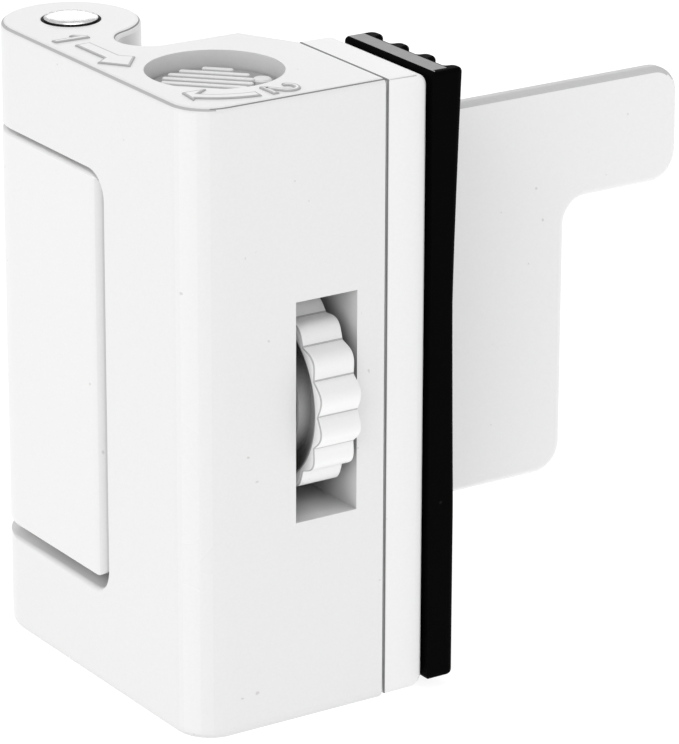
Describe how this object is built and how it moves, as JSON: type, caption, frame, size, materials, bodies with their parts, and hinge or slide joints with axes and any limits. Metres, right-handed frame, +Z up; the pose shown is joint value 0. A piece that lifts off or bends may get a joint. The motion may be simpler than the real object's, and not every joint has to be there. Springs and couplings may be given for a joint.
{
  "type": "stair gate latch",
  "caption": "White swing latch for a gate or door leaf, with a button release, a folding hinged lever, a thumbwheel clamp with a ribbed rubber pad, and a flag-shaped strap plate.",
  "frame": {"origin": "where the hinge pin's axis meets the housing's bottom face", "axes": "+Z up along the hinge pin, +Y back along the strap plate towards the gate or door leaf, +X towards the thumbwheel side"},
  "size_m": [0.0549, 0.0898, 0.0805],
  "materials": {
    "white_coat": "gloss",
    "white_plastic": "gloss",
    "bright_steel": "fine turned",
    "brass": "turned",
    "nylon": "matte",
    "black_rubber": "satin"
  },
  "bodies": {
    "body": {"housing": "white_coat", "strap_plate": "white_coat", "strap_screw_1": "bright_steel", "strap_screw_2": "bright_steel", "strap_screw_3": "bright_steel", "strap_screw_4": "bright_steel", "hinge_pin": "bright_steel", "pin_set_screw": "bright_steel", "upper_washer": "nylon", "lower_washer": "nylon", "button_guide": "brass", "screw_bush": "brass", "guide_bush_upper": "brass", "guide_bush_lower": "brass", "thrust_washer_front": "bright_steel", "thrust_washer_rear": "bright_steel", "button_spring": "bright_steel", "catch_spring": "bright_steel"},
    "lever": {"swing_lever": "white_coat", "lever_striker": "bright_steel"},
    "button": {"lock_button": "white_plastic", "button_clip": "bright_steel"},
    "catch": {"catch_slider": "bright_steel"},
    "wheel": {"thumbwheel": "white_plastic", "thumbwheel_nut": "brass"},
    "clamp": {"pressure_block": "white_coat", "rubber_pad": "black_rubber", "lead_screw": "bright_steel", "guide_rod_upper": "bright_steel", "guide_rod_lower": "bright_steel"}
  },
  "joints": [
    {"name": "lever_swing", "type": "hinge", "parent": "body", "child": "lever", "pos_m": [0, 0, 0], "axis": [0, 0, 1], "range_deg": [-180, 0]},
    {"name": "button_press", "type": "slide", "parent": "body", "child": "button", "axis": [0, 0, -1], "range_m": [0, 0.002], "stiffness_N_per_m": 500, "springref_m": -0.003, "deforming": ["button_spring"]},
    {"name": "catch_slide", "type": "slide", "parent": "body", "child": "catch", "axis": [1, 0, 0], "range_m": [0, 0.002], "deforming": ["catch_spring"]},
    {"name": "thumbwheel_spin", "type": "hinge", "parent": "body", "child": "wheel", "pos_m": [0.0342, 0.0098, 0.0402], "axis": [0, -1, 0], "range_deg": [0, 1440]},
    {"name": "block_slide", "type": "slide", "parent": "body", "child": "clamp", "axis": [0, 1, 0], "range_m": [0, 0.006]}
  ],
  "couplings": [
    {"joint": "catch_slide", "follows": "button_press", "ratio": 1},
    {"joint": "thumbwheel_spin", "follows": "block_slide", "rad_per_m": 4188.8}
  ]
}
